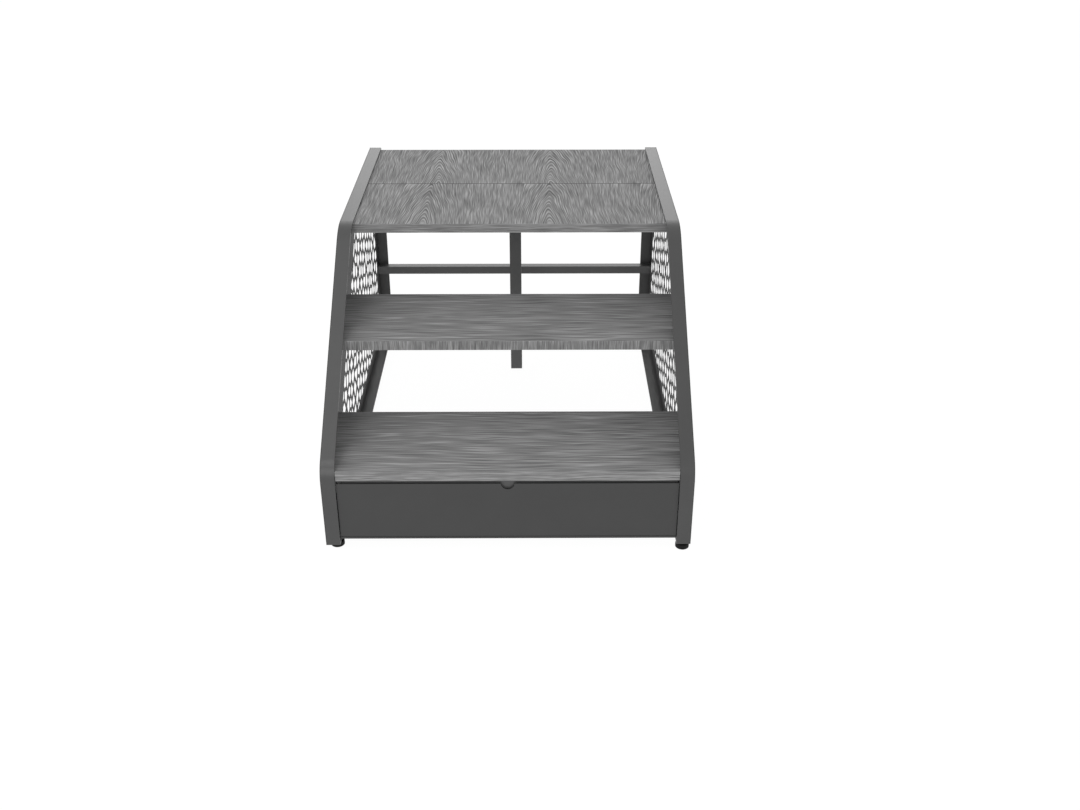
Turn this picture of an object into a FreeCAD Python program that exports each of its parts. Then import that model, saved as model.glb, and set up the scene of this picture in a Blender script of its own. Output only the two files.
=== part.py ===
import FreeCAD, Part
import math
import os
import random

# Spa steps: two treads and a landing between two bent steel side frames.
# Every length is in millimetres. The model is drawn from the front plane
# (Y = 0 at the front of the frame, +Y to the rear, Z = 0 on the floor) and
# is moved back by half its depth when it is written, so that the origin is
# the middle of the footprint.

# ---- overall sizes -------------------------------------------------------
WIDTH = 900.0            # outside to outside of the side sheets
DEPTH = 1263.0           # front of the front band to rear of the rear band
HEIGHT = 646.0           # floor to the top of the edge band

# ---- side profile --------------------------------------------------------
LOW_BEND_Z = 228.0       # where the upright and the slope would meet
TOP_BEND_Y = 550.0       # where the slope and the top would meet
LOW_BEND_R = 68.0        # outside radii of the two bends
TOP_BEND_R = 125.0
BAND_WIDTH = 35.0        # edge band and sheet together
BAND_THICK = 4.0
SHEET_THICK = 1.5

# ---- screen in the side sheet --------------------------------------------
SCREEN_SLOPE_BORDER = 252.0   # solid sheet behind the front and the slope
SCREEN_EDGE_BORDER = 34.0     # solid sheet above the bottom and at the rear
SCREEN_TOP_BORDER = 72.0      # solid sheet below the top
CELL_PITCH = 56.0             # mean distance between the openings of a row
CELL_STRAY = 16.0             # how far an opening strays along its row
ROW_PITCH = 36.0              # mean distance between rows
ROW_STRAY = 4.0               # how far an opening strays from its row
ROW_FALL = math.radians(20)   # rows fall this much towards the rear
CELL_WEB = 4.5                # metal left between two openings of a row
ROW_WEB = 10.0                # metal left between the openings of two rows
CELL_SMALLEST = 90.0          # openings of less area than this are left out
CELL_SEED = 11

# ---- boards --------------------------------------------------------------
BOARD_THICK = 25.0
BOARD_END_GAP = 1.0      # board end to side sheet
BOARD_EDGE_R = 1.2       # eased upper front and rear edges
TREAD_DEPTH = 300.0
LOW_TREAD_Y = 4.8        # front edge of each tread, from the front plane
LOW_TREAD_TOP = 225.7
MID_TREAD_TOP = 434.4
MID_TREAD_SETBACK = 22.4 # front edge behind the slope of the frame, at the tread's top
LANDING_LEAD = 8.1       # landing's front edge ahead of the end of the top bend
LANDING_GAP = 1.6        # underside of the top band to the landing surface
LANDING_SEAM = 2.6       # gap between the two landing boards
LANDING_REAR_GAP = 0.8   # landing to the rear band
NOTCH_GAP = 1.0          # lower tread to the edge band that it is notched round

# ---- supports ------------------------------------------------------------
ANGLE_LEG = 25.0
ANGLE_THICK = 3.0
ANGLE_INSET = 60.0       # board edge to the ends of its end angles
BEARER_WIDTH = 50.0
LOW_BEARER_THICK = 6.0
MID_BEARER_HEIGHT = 20.0
TUBE_WALL = 1.5
REAR_BAR = 25.0
REAR_BAR_Z = 231.0       # underside of the rear bar
POST = 35.0
POST_SHIFT = 8.0         # the post stands this far right of the middle
POST_REAR_GAP = 230.0    # post to the rear of the frame
POST_SCREW_GAP = 20.0    # post to the nearest screw of the bearer on it
POST_CLEARANCE = 1.0     # floor to the cap, so that the four feet carry first
POST_CAP_THICK = 4.0
POST_PLUG_LENGTH = 14.0
PLUG_GAP = 0.2
CENTRE_BEARER_WIDTH = 40.0
CENTRE_BEARER_HEIGHT = 30.0
CENTRE_BEARER_INSET = 80.0

# ---- board screws --------------------------------------------------------
SCREW_R = 2.5
SCREW_HEAD_R = 5.0
SCREW_HEAD_THICK = 3.0
SCREW_BITE = 18.0        # length in the board
SCREW_FIT = 0.06         # radial clearance in the board
SCREW_HOLE_GAP = 0.3     # radial clearance in the steel
SCREW_SIDE_INSET = 15.0  # side sheet to the screws of the end angles
SCREW_END_INSET = 30.0   # end of an angle or bearer to its first screw
SEAM_SCREW_INSET = 60.0  # seam between the landing boards to the screw before it
BLIND_END_GAP = 1.0

# ---- drawer under the lower tread ----------------------------------------
PANEL_Y = 6.0            # face of the drawer front, behind the front plane
PANEL_SIDE_GAP = 1.5     # drawer front to edge band
PANEL_BOTTOM_GAP = 11.5  # top of the bottom band to the drawer front
PANEL_TOP_GAP = 8.9      # drawer front to the underside of the lower tread
PANEL_THICK = 1.5
PANEL_RETURN = 12.0      # folded returns at the sides and the bottom
HEM_HEIGHT = 5.0
HEM_PROUD = 1.2
NOTCH_R = 16.0           # half-round finger notch
BOX_SETBACK = 6.5        # face of the drawer front to the box front, room for fingertips
BOX_REAR_INSET = 34.8    # rear edge of the lower tread to the back of the box
BOX_FLOOR_GAP = 20.0     # top of the bottom band to the drawer floor
BOX_FRONT_GAP = 3.0      # box front to the underside of the lower tread
BOX_HEADROOM = 15.7      # heads of the tread screws to the top of the box sides
BOX_RIGHT_GAP = 3.5      # the box front laps the right runner, this far from the band
BOX_SHEET = 1.2
RUNNER_RISE = 48.0       # drawer floor to the runners
RUNNER_HEIGHT = 35.0
RUNNER_DEPTH = 13.0
RUNNER_BAND_GAP = 3.0    # runner to the inner edge of the front band
RUNNER_WALL = 1.2
RUNNER_PLAY = 0.5
RUNNER_FRONT_GAP = 1.0   # returns of the drawer front to the runners
RUNNER_REAR_GAP = 6.8    # runners to the back of the box
BRACKET_LENGTH = 30.0
BRACKET_INSET = 20.0
BRACKET_WALL = 2.0
SPACER_R = 6.0
SPACER_SIDE_INSET = 60.0
SPACER_RISES = (28.0, 108.0)   # drawer floor to the two rows of spacers

# ---- levelling feet ------------------------------------------------------
PAD_R = 17.0
PAD_HEIGHT = 13.0
PAD_EDGE_R = 2.5
STEM_R = 5.0             # M10
STEM_FIT = 0.06
STEM_HOLE_GAP = 0.5
STEM_SEAT = 8.0          # depth of the stem in the pad
STEM_ABOVE_NUT = 14.0
HEX_FLATS = 17.0
HEX_HEIGHT = 4.0
HEX_GAP = 1.0            # hexagon on the stem to the underside of the frame
NUT_HEIGHT = 8.0
FOOT_INSET_LEFT = (23.0, 32.0)   # foot axis from the outside and from the end
FOOT_INSET_RIGHT = (18.3, 17.2)

# ---- worked-out levels and planes ----------------------------------------
SHEET_IN = WIDTH / 2 - SHEET_THICK       # inner face of a side sheet
BAND_IN = WIDTH / 2 - BAND_WIDTH         # inner edge of a band
FOOT_HEIGHT = PAD_HEIGHT + HEX_HEIGHT + HEX_GAP   # floor to the underside of the frame
BAND_TOP = FOOT_HEIGHT + BAND_THICK      # top of the bottom band
SLOPE = math.atan2(HEIGHT - LOW_BEND_Z, TOP_BEND_Y)
LOW_CENTRE_Z = LOW_BEND_Z - LOW_BEND_R * math.tan((math.pi / 2 - SLOPE) / 2)
TOP_CENTRE_Y = TOP_BEND_Y + TOP_BEND_R * math.tan(SLOPE / 2)
MID_TREAD_Y = (MID_TREAD_TOP - LOW_BEND_Z) / math.tan(SLOPE) + MID_TREAD_SETBACK
LANDING_Y = TOP_CENTRE_Y - LANDING_LEAD
LANDING_TOP = HEIGHT - BAND_THICK - LANDING_GAP
LANDING_REAR = DEPTH - BAND_THICK - LANDING_REAR_GAP
BOARD_HALF = SHEET_IN - BOARD_END_GAP
LOW_TREAD_UNDER = LOW_TREAD_TOP - BOARD_THICK
SIDES = (("left", -1), ("right", 1))


def vec(x, y, z):
    return FreeCAD.Vector(x, y, z)


def block(x_range, y_range, z_range):
    """A box between two values on each axis, given in either order."""
    low = [min(pair) for pair in (x_range, y_range, z_range)]
    high = [max(pair) for pair in (x_range, y_range, z_range)]
    size = [h - l for h, l in zip(high, low)]
    return Part.makeBox(size[0], size[1], size[2], vec(*low))


def rod(radius, length, base, direction):
    return Part.makeCylinder(radius, length, base, direction)


def hexagon(flats, height, base):
    """A hexagonal prism standing on base, with its corners on X."""
    corner = flats / math.sqrt(3)
    points = []
    for step in range(7):
        turn = math.radians(60 * step)
        points.append(base + vec(corner * math.cos(turn), corner * math.sin(turn), 0))
    return Part.Face(Part.makePolygon(points)).extrude(vec(0, 0, height))


def keep(name, shape):
    """Move a piece from the front plane to the middle of the depth, and write it."""
    moved = shape.copy()
    moved.translate(vec(0, -DEPTH / 2, 0))
    moved.exportStep("parts/" + name + ".step")


# ---- side frames ---------------------------------------------------------
def profile_edges(inset):
    """Edges of the front, slope and top line, inset from the outside, in the YZ plane.

    Both bends keep their centre, so an inset line has smaller radii.
    """
    low_centre = (LOW_BEND_R, LOW_CENTRE_Z)
    top_centre = (TOP_CENTRE_Y, HEIGHT - TOP_BEND_R)
    low_r = LOW_BEND_R - inset
    top_r = TOP_BEND_R - inset

    def on_arc(centre, radius, turn):
        return vec(0, centre[0] + radius * math.cos(turn), centre[1] + radius * math.sin(turn))

    across = SLOPE + math.pi / 2             # direction square to the slope, outwards
    low_start = on_arc(low_centre, low_r, math.pi)
    low_mid = on_arc(low_centre, low_r, (math.pi + across) / 2)
    low_end = on_arc(low_centre, low_r, across)
    top_start = on_arc(top_centre, top_r, across)
    top_mid = on_arc(top_centre, top_r, (across + math.pi / 2) / 2)
    top_end = on_arc(top_centre, top_r, math.pi / 2)
    foot = vec(0, inset, FOOT_HEIGHT)
    tail = vec(0, DEPTH, HEIGHT - inset)
    edges = [
        Part.LineSegment(foot, low_start).toShape(),
        Part.Arc(low_start, low_mid, low_end).toShape(),
        Part.LineSegment(low_end, top_start).toShape(),
        Part.Arc(top_start, top_mid, top_end).toShape(),
        Part.LineSegment(top_end, tail).toShape(),
    ]
    return edges, foot, tail


def band_inner_y(z):
    """How far back the inner face of the front band is at one height."""
    radius = LOW_BEND_R - BAND_THICK
    up = z - LOW_CENTRE_Z
    if up <= 0:
        return BAND_THICK
    if up <= radius * math.cos(SLOPE):
        return LOW_BEND_R - math.sqrt(radius * radius - up * up)
    return (z - LOW_BEND_Z) / math.tan(SLOPE) + BAND_THICK / math.sin(SLOPE)


def front_band(side):
    """One flat bar bent up the front, along the slope and back over the top."""
    outer, outer_foot, outer_tail = profile_edges(0)
    inner, inner_foot, inner_tail = profile_edges(BAND_THICK)
    ends = [
        Part.LineSegment(outer_tail, inner_tail).toShape(),
        Part.LineSegment(inner_foot, outer_foot).toShape(),
    ]
    face = Part.Face(Part.Wire(Part.__sortEdges__(outer + inner + ends)))
    face.translate(vec(side * BAND_IN, 0, 0))
    return face.extrude(vec(side * (SHEET_IN - BAND_IN), 0, 0))


def clip(polygon, normal, limit):
    """The part of a convex polygon where the dot product with normal is under limit."""
    kept = []
    for index, point in enumerate(polygon):
        before = polygon[index - 1]
        here = point[0] * normal[0] + point[1] * normal[1] - limit
        there = before[0] * normal[0] + before[1] * normal[1] - limit
        if (here < 0) != (there < 0):
            share = there / (there - here)
            kept.append((before[0] + share * (point[0] - before[0]),
                         before[1] + share * (point[1] - before[1])))
        if here < 0:
            kept.append(point)
    return kept


def area(polygon):
    total = 0.0
    for index, point in enumerate(polygon):
        before = polygon[index - 1]
        total += before[0] * point[1] - point[0] * before[1]
    return abs(total) / 2


def screen_cells():
    """Openings of the screen: cells round points that stray from staggered, slanting rows.

    Each cell is what lies nearer to its own point than to any other, less half
    a web on every side, cut off at the solid border of the sheet.
    """
    luck = random.Random(CELL_SEED)
    rows = int((HEIGHT + DEPTH * math.sin(ROW_FALL)) / ROW_PITCH) + 2
    columns = int(DEPTH / CELL_PITCH) + 3
    points = []
    for row in range(rows):
        for column in range(columns):
            along = (column + 0.5 * (row % 2)) * CELL_PITCH + luck.uniform(-CELL_STRAY, CELL_STRAY)
            across = row * ROW_PITCH + luck.uniform(-ROW_STRAY, ROW_STRAY)
            y = along * math.cos(ROW_FALL) + across * math.sin(ROW_FALL)
            z = FOOT_HEIGHT - along * math.sin(ROW_FALL) + across * math.cos(ROW_FALL)
            points.append((row, y, z))
    slope_normal = (-math.sin(SLOPE), math.cos(SLOPE))
    slope_limit = LOW_BEND_Z * math.cos(SLOPE) - SCREEN_SLOPE_BORDER
    borders = (
        ((-1, 0), -SCREEN_SLOPE_BORDER),
        ((1, 0), DEPTH - SCREEN_EDGE_BORDER),
        ((0, -1), -FOOT_HEIGHT - SCREEN_EDGE_BORDER),
        ((0, 1), HEIGHT - SCREEN_TOP_BORDER),
        (slope_normal, slope_limit),
    )
    reach = 3 * max(CELL_PITCH, ROW_PITCH)
    cells = []
    for row, y, z in points:
        low_y, high_y, low_z, high_z = y - reach, y + reach, z - reach, z + reach
        cell = [(low_y, low_z), (high_y, low_z), (high_y, high_z), (low_y, high_z)]
        for other_row, other_y, other_z in points:
            gap = math.hypot(other_y - y, other_z - z)
            if 0 < gap < reach and cell:
                web = CELL_WEB if other_row == row else ROW_WEB
                normal = ((other_y - y) / gap, (other_z - z) / gap)
                middle = normal[0] * y + normal[1] * z + gap / 2 - web / 2
                cell = clip(cell, normal, middle)
        for normal, limit in borders:
            if cell:
                cell = clip(cell, normal, limit)
        if len(cell) > 2 and area(cell) > CELL_SMALLEST:
            cells.append(cell)
    return cells


def side_sheet(side, cells):
    """Flat sheet of the whole side profile, with its screen cut through."""
    outer, foot, tail = profile_edges(0)
    rear_foot = vec(0, DEPTH, FOOT_HEIGHT)
    closing = [
        Part.LineSegment(tail, rear_foot).toShape(),
        Part.LineSegment(rear_foot, foot).toShape(),
    ]
    wires = [Part.Wire(Part.__sortEdges__(outer + closing))]
    for cell in cells:
        points = [vec(0, y, z) for y, z in cell]
        wires.append(Part.makePolygon(points + points[:1]))
    face = Part.makeFace(wires, "Part::FaceMakerBullseye")
    face.translate(vec(side * SHEET_IN, 0, 0))
    return face.extrude(vec(side * SHEET_THICK, 0, 0))


def foot_places(side):
    """Axes of the two feet of one side, front and rear."""
    inset = FOOT_INSET_LEFT if side < 0 else FOOT_INSET_RIGHT
    x = side * (WIDTH / 2 - inset[0])
    return (("front", x, inset[1]), ("rear", x, DEPTH - inset[1]))


def side_frames():
    cells = screen_cells()
    for word, side in SIDES:
        band_x = (side * BAND_IN, side * SHEET_IN)
        rear_y = DEPTH - BAND_THICK
        bottom = block(band_x, (BAND_THICK, rear_y), (FOOT_HEIGHT, BAND_TOP))
        for _, x, y in foot_places(side):
            hole = rod(STEM_R + STEM_HOLE_GAP, BAND_THICK, vec(x, y, FOOT_HEIGHT), vec(0, 0, 1))
            bottom = bottom.cut(hole)
        keep("side_sheet_" + word, side_sheet(side, cells))
        keep("front_band_" + word, front_band(side))
        keep("bottom_band_" + word, bottom)
        keep("rear_band_" + word, block(band_x, (rear_y, DEPTH), (FOOT_HEIGHT, HEIGHT - BAND_THICK)))


# ---- boards, their angles, bearers and screws ----------------------------
def board(front, depth, top):
    """A full-width board with its upper long edges eased."""
    slab = block((-BOARD_HALF, BOARD_HALF), (front, front + depth), (top - BOARD_THICK, top))
    long_edges = []
    for edge in slab.Edges:
        ends = [vertex.Point for vertex in edge.Vertexes]
        along_x = abs(ends[0].x - ends[1].x) > 1
        if along_x and min(ends[0].z, ends[1].z) > top - 1e-6:
            long_edges.append(edge)
    return slab.makeFillet(BOARD_EDGE_R, long_edges)


def corner_notches(front, top):
    """What the lower tread leaves out at its front corners, where the bands pass."""
    reach = band_inner_y(top) + NOTCH_GAP
    inner = BAND_IN - NOTCH_GAP
    notches = []
    for _, side in SIDES:
        notches.append(block((side * inner, side * WIDTH / 2), (front - 1, reach), (top - BOARD_THICK, top)))
    return notches


def screw(x, y, under, board_bottom):
    """Pan-head screw driven up into a board, its head against the steel at under."""
    head = rod(SCREW_HEAD_R, SCREW_HEAD_THICK, vec(x, y, under - SCREW_HEAD_THICK), vec(0, 0, 1))
    length = board_bottom + SCREW_BITE - under
    return head.fuse(rod(SCREW_R, length, vec(x, y, under), vec(0, 0, 1))).removeSplitter()


def drill(piece, radius, places, bottom, top):
    for x, y in places:
        piece = piece.cut(rod(radius, top - bottom, vec(x, y, bottom), vec(0, 0, 1)))
    return piece


def spread(start, end, count):
    return [start + (end - start) * step / (count - 1) for step in range(count)]


def end_angle(side, y_range, top, places):
    """Angle welded to the side sheet, its level leg under the boards."""
    outer = side * SHEET_IN
    level = block((outer, side * (SHEET_IN - ANGLE_LEG)), y_range, (top - ANGLE_THICK, top))
    upright = block((outer, side * (SHEET_IN - ANGLE_THICK)), y_range, (top - ANGLE_LEG, top))
    angle = level.fuse(upright).removeSplitter()
    return drill(angle, SCREW_R + SCREW_HOLE_GAP, places, top - ANGLE_THICK, top)


def tube(x_range, y_range, z_range, along):
    """Square or oblong tube between two values on each axis, open at both ends of along."""
    ranges = [sorted(x_range), sorted(y_range), sorted(z_range)]
    inside = []
    for axis, pair in enumerate(ranges):
        wall = 0 if axis == along else TUBE_WALL
        inside.append((pair[0] + wall, pair[1] - wall))
    return block(*ranges).cut(block(*inside))


def cross_tube(x_range, y_range, z_range):
    return tube(x_range, y_range, z_range, 0)


def boards_and_supports():
    screw_x = SHEET_IN - SCREW_SIDE_INSET
    angle_in = SHEET_IN - ANGLE_LEG
    drill_r = SCREW_R + SCREW_FIT
    hole_r = SCREW_R + SCREW_HOLE_GAP
    bearer_x = (-angle_in, angle_in)
    treads = (
        ("lower", LOW_TREAD_Y, LOW_TREAD_TOP, LOW_BEARER_THICK, block),
        ("middle", MID_TREAD_Y, MID_TREAD_TOP, MID_BEARER_HEIGHT, cross_tube),
    )
    for word, front, top, bearer_height, bearer_shape in treads:
        under = top - BOARD_THICK
        y_range = (front + ANGLE_INSET, front + TREAD_DEPTH - ANGLE_INSET)
        angle_ys = (y_range[0] + SCREW_END_INSET, y_range[1] - SCREW_END_INSET)
        middle = front + TREAD_DEPTH / 2
        bearer_y = (middle - BEARER_WIDTH / 2, middle + BEARER_WIDTH / 2)
        bearer_z = (under - bearer_height, under)
        end_places = []
        for side_word, side in SIDES:
            places = [(side * screw_x, y) for y in angle_ys]
            keep(word + "_angle_" + side_word, end_angle(side, y_range, under, places))
            end_places += places
        mid_places = [(x, middle) for x in spread(-angle_in / 2, angle_in / 2, 3)]
        bearer = bearer_shape(bearer_x, bearer_y, bearer_z)
        bearer = drill(bearer, hole_r, mid_places, bearer_z[0], under)
        keep(word + "_bearer", bearer)
        slab = board(front, TREAD_DEPTH, top)
        if word == "lower":
            for notch in corner_notches(front, top):
                slab = slab.cut(notch)
        hole_top = under + SCREW_BITE + BLIND_END_GAP
        slab = drill(slab, drill_r, end_places + mid_places, under, hole_top)
        keep(word + "_tread", slab)
        screws = [screw(x, y, under - ANGLE_THICK, under) for x, y in end_places]
        screws += [screw(x, y, bearer_z[0], under) for x, y in mid_places]
        keep(word + "_tread_screws", Part.makeCompound(screws))
    landing(screw_x, drill_r, hole_r)


def landing(screw_x, drill_r, hole_r):
    """Two boards side by side on two end angles and a tube along the middle."""
    under = LANDING_TOP - BOARD_THICK
    depth = (LANDING_REAR - LANDING_Y - LANDING_SEAM) / 2
    rear_front = LANDING_Y + depth + LANDING_SEAM
    y_range = (LANDING_Y + ANGLE_INSET, LANDING_REAR - ANGLE_INSET)
    fronts = (("front", LANDING_Y), ("rear", rear_front))
    board_ys = {word: (front + depth / 3, front + depth * 2 / 3) for word, front in fronts}
    for side_word, side in SIDES:
        places = [(side * screw_x, y) for y in board_ys["front"] + board_ys["rear"]]
        keep("landing_angle_" + side_word, end_angle(side, y_range, under, places))
    half = CENTRE_BEARER_WIDTH / 2
    post_front = DEPTH - POST_REAR_GAP - POST
    tube_x = (POST_SHIFT - half, POST_SHIFT + half)
    tube_y = (LANDING_Y + CENTRE_BEARER_INSET, LANDING_REAR - CENTRE_BEARER_INSET)
    tube_z = (under - CENTRE_BEARER_HEIGHT, under)
    bearer_ys = {
        "front": (tube_y[0] + SCREW_END_INSET, LANDING_Y + depth - SEAM_SCREW_INSET),
        "rear": (post_front + POST + POST_SCREW_GAP, tube_y[1] - SCREW_END_INSET),
    }
    bearer = tube(tube_x, tube_y, tube_z, 1)
    bearer_places = [(POST_SHIFT, y) for y in bearer_ys["front"] + bearer_ys["rear"]]
    keep("landing_bearer", drill(bearer, hole_r, bearer_places, tube_z[0], under))
    screws = []
    for word, front in fronts:
        end_places = [(side * screw_x, y) for _, side in SIDES for y in board_ys[word]]
        mid_places = [(POST_SHIFT, y) for y in bearer_ys[word]]
        hole_top = under + SCREW_BITE + BLIND_END_GAP
        slab = drill(board(front, depth, LANDING_TOP), drill_r, end_places + mid_places, under, hole_top)
        keep("landing_board_" + word, slab)
        screws += [screw(x, y, under - ANGLE_THICK, under) for x, y in end_places]
        screws += [screw(x, y, tube_z[0], under) for x, y in mid_places]
    keep("landing_screws", Part.makeCompound(screws))
    post_and_bar(post_front, tube_z[0])


def post_and_bar(post_front, post_top):
    post_x = (POST_SHIFT - POST / 2, POST_SHIFT + POST / 2)
    post_y = (post_front, post_front + POST)
    cap_top = POST_CLEARANCE + POST_CAP_THICK
    keep("centre_post", tube(post_x, post_y, (cap_top, post_top), 2))
    inner = TUBE_WALL + PLUG_GAP
    plug_x = (post_x[0] + inner, post_x[1] - inner)
    plug_y = (post_y[0] + inner, post_y[1] - inner)
    cap = block(post_x, post_y, (POST_CLEARANCE, cap_top))
    cap = cap.fuse(block(plug_x, plug_y, (cap_top, cap_top + POST_PLUG_LENGTH))).removeSplitter()
    keep("post_cap", cap)
    bar_y = (DEPTH - BAND_THICK - REAR_BAR, DEPTH - BAND_THICK)
    keep("rear_bar", tube((-SHEET_IN, SHEET_IN), bar_y, (REAR_BAR_Z, REAR_BAR_Z + REAR_BAR), 0))


# ---- drawer --------------------------------------------------------------
def drawer():
    back_of_front = PANEL_Y + PANEL_THICK
    half = BAND_IN - PANEL_SIDE_GAP
    bottom = BAND_TOP + PANEL_BOTTOM_GAP
    top = LOW_TREAD_UNDER - PANEL_TOP_GAP
    face = block((-half, half), (PANEL_Y, back_of_front), (bottom, top))
    hem = block((-half, half), (PANEL_Y - HEM_PROUD, PANEL_Y), (bottom, bottom + HEM_HEIGHT))
    return_y = (PANEL_Y, PANEL_Y + PANEL_RETURN)
    pan = face.fuse(hem)
    pan = pan.fuse(block((-half, half), return_y, (bottom, bottom + PANEL_THICK)))
    for _, side in SIDES:
        wall = (side * half, side * (half - PANEL_THICK))
        pan = pan.fuse(block(wall, return_y, (bottom, top)))
    notch = rod(NOTCH_R, 3 * PANEL_THICK, vec(0, PANEL_Y - PANEL_THICK, top), vec(0, 1, 0))
    keep("drawer_front", pan.removeSplitter().cut(notch))
    drawer_box(back_of_front)


def drawer_box(back_of_front):
    """Open box behind the drawer front, on spacers that leave room for the fingers."""
    half = BAND_IN - RUNNER_BAND_GAP - RUNNER_DEPTH
    floor = BAND_TOP + BOX_FLOOR_GAP
    side_top = LOW_TREAD_UNDER - LOW_BEARER_THICK - SCREW_HEAD_THICK - BOX_HEADROOM
    front_y = PANEL_Y + BOX_SETBACK
    rear_y = LOW_TREAD_Y + TREAD_DEPTH - BOX_REAR_INSET
    inner_y = (front_y + BOX_SHEET, rear_y - BOX_SHEET)
    spacer_xs = (SPACER_SIDE_INSET - half, half - SPACER_SIDE_INSET)
    places = [(x, floor + rise) for x in spacer_xs for rise in SPACER_RISES]
    box_front = block((-half, BAND_IN - BOX_RIGHT_GAP), (front_y, inner_y[0]),
                      (floor, LOW_TREAD_UNDER - BOX_FRONT_GAP))
    spacers = []
    screws = []
    for x, z in places:
        through = rod(SCREW_R + SCREW_HOLE_GAP, BOX_SHEET, vec(x, front_y, z), vec(0, 1, 0))
        box_front = box_front.cut(through)
        spacer = rod(SPACER_R, front_y - back_of_front, vec(x, back_of_front, z), vec(0, 1, 0))
        bore = rod(SCREW_R + SCREW_FIT, front_y - back_of_front, vec(x, back_of_front, z), vec(0, 1, 0))
        spacers.append(spacer.cut(bore))
        shank_start = back_of_front + BLIND_END_GAP
        shank = rod(SCREW_R, inner_y[0] - shank_start, vec(x, shank_start, z), vec(0, 1, 0))
        head = rod(SCREW_HEAD_R, SCREW_HEAD_THICK, vec(x, inner_y[0], z), vec(0, 1, 0))
        screws.append(shank.fuse(head).removeSplitter())
    keep("front_spacers", Part.makeCompound(spacers))
    keep("front_screws", Part.makeCompound(screws))
    keep("drawer_box_front", box_front)
    keep("drawer_box_back", block((-half, half), (inner_y[1], rear_y), (floor, side_top)))
    floor_half = half - BOX_SHEET
    keep("drawer_floor", block((-floor_half, floor_half), inner_y, (floor, floor + BOX_SHEET)))
    runner_y = (PANEL_Y + PANEL_RETURN + RUNNER_FRONT_GAP, rear_y - RUNNER_REAR_GAP)
    runner_z = (floor + RUNNER_RISE, floor + RUNNER_RISE + RUNNER_HEIGHT)
    for word, side in SIDES:
        wall = (side * half, side * floor_half)
        keep("drawer_side_" + word, block(wall, inner_y, (floor, side_top)))
        runner(word, side, side * half, runner_y, runner_z)


def runner(word, side, box_x, y_range, z_range):
    """Fixed channel on two brackets, and the rail on the drawer box that slides in it."""
    far = box_x + side * RUNNER_DEPTH
    near = box_x + side * RUNNER_PLAY
    channel = block((near, far), y_range, z_range)
    hollow_z = (z_range[0] + RUNNER_WALL, z_range[1] - RUNNER_WALL)
    channel = channel.cut(block((near, far - side * RUNNER_WALL), y_range, hollow_z))
    keep("runner_" + word, channel)
    rail_z = (hollow_z[0] + RUNNER_PLAY, hollow_z[1] - RUNNER_PLAY)
    rail_x = (box_x, far - side * (RUNNER_WALL + RUNNER_PLAY))
    rail = block(rail_x, y_range, rail_z)
    rail_hollow = (box_x, rail_x[1] - side * RUNNER_WALL)
    rail = rail.cut(block(rail_hollow, y_range, (rail_z[0] + RUNNER_WALL, rail_z[1] - RUNNER_WALL)))
    keep("slide_rail_" + word, rail)
    brackets = []
    for y in (y_range[0] + BRACKET_INSET, y_range[1] - BRACKET_INSET - BRACKET_LENGTH):
        outside = block((far, side * SHEET_IN), (y, y + BRACKET_LENGTH), z_range)
        inside = block((far + side * BRACKET_WALL, side * (SHEET_IN - BRACKET_WALL)),
                       (y + BRACKET_WALL, y + BRACKET_LENGTH - BRACKET_WALL), z_range)
        brackets.append(outside.cut(inside))
    keep("runner_brackets_" + word, Part.makeCompound(brackets))


# ---- levelling feet ------------------------------------------------------
def levelling_feet():
    up = vec(0, 0, 1)
    nuts = []
    for word, side in SIDES:
        for end, x, y in foot_places(side):
            pad = rod(PAD_R, PAD_HEIGHT, vec(x, y, 0), up)
            rims = [edge for edge in pad.Edges if edge.Closed]
            pad = pad.makeFillet(PAD_EDGE_R, rims)
            seat = PAD_HEIGHT - STEM_SEAT
            pad = pad.cut(rod(STEM_R + STEM_FIT, STEM_SEAT, vec(x, y, seat), up))
            stem_base = seat + BLIND_END_GAP / 2
            stem_top = BAND_TOP + NUT_HEIGHT + STEM_ABOVE_NUT
            stem = rod(STEM_R, stem_top - stem_base, vec(x, y, stem_base), up)
            stem = stem.fuse(hexagon(HEX_FLATS, HEX_HEIGHT, vec(x, y, PAD_HEIGHT))).removeSplitter()
            keep("foot_pad_" + end + "_" + word, pad)
            keep("foot_stem_" + end + "_" + word, stem)
            nut = hexagon(HEX_FLATS, NUT_HEIGHT, vec(x, y, BAND_TOP))
            nuts.append(nut.cut(rod(STEM_R + STEM_FIT, NUT_HEIGHT, vec(x, y, BAND_TOP), up)))
    keep("weld_nuts", Part.makeCompound(nuts))


os.makedirs("parts", exist_ok=True)
side_frames()
boards_and_supports()
drawer()
levelling_feet()
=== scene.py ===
import math

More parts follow.
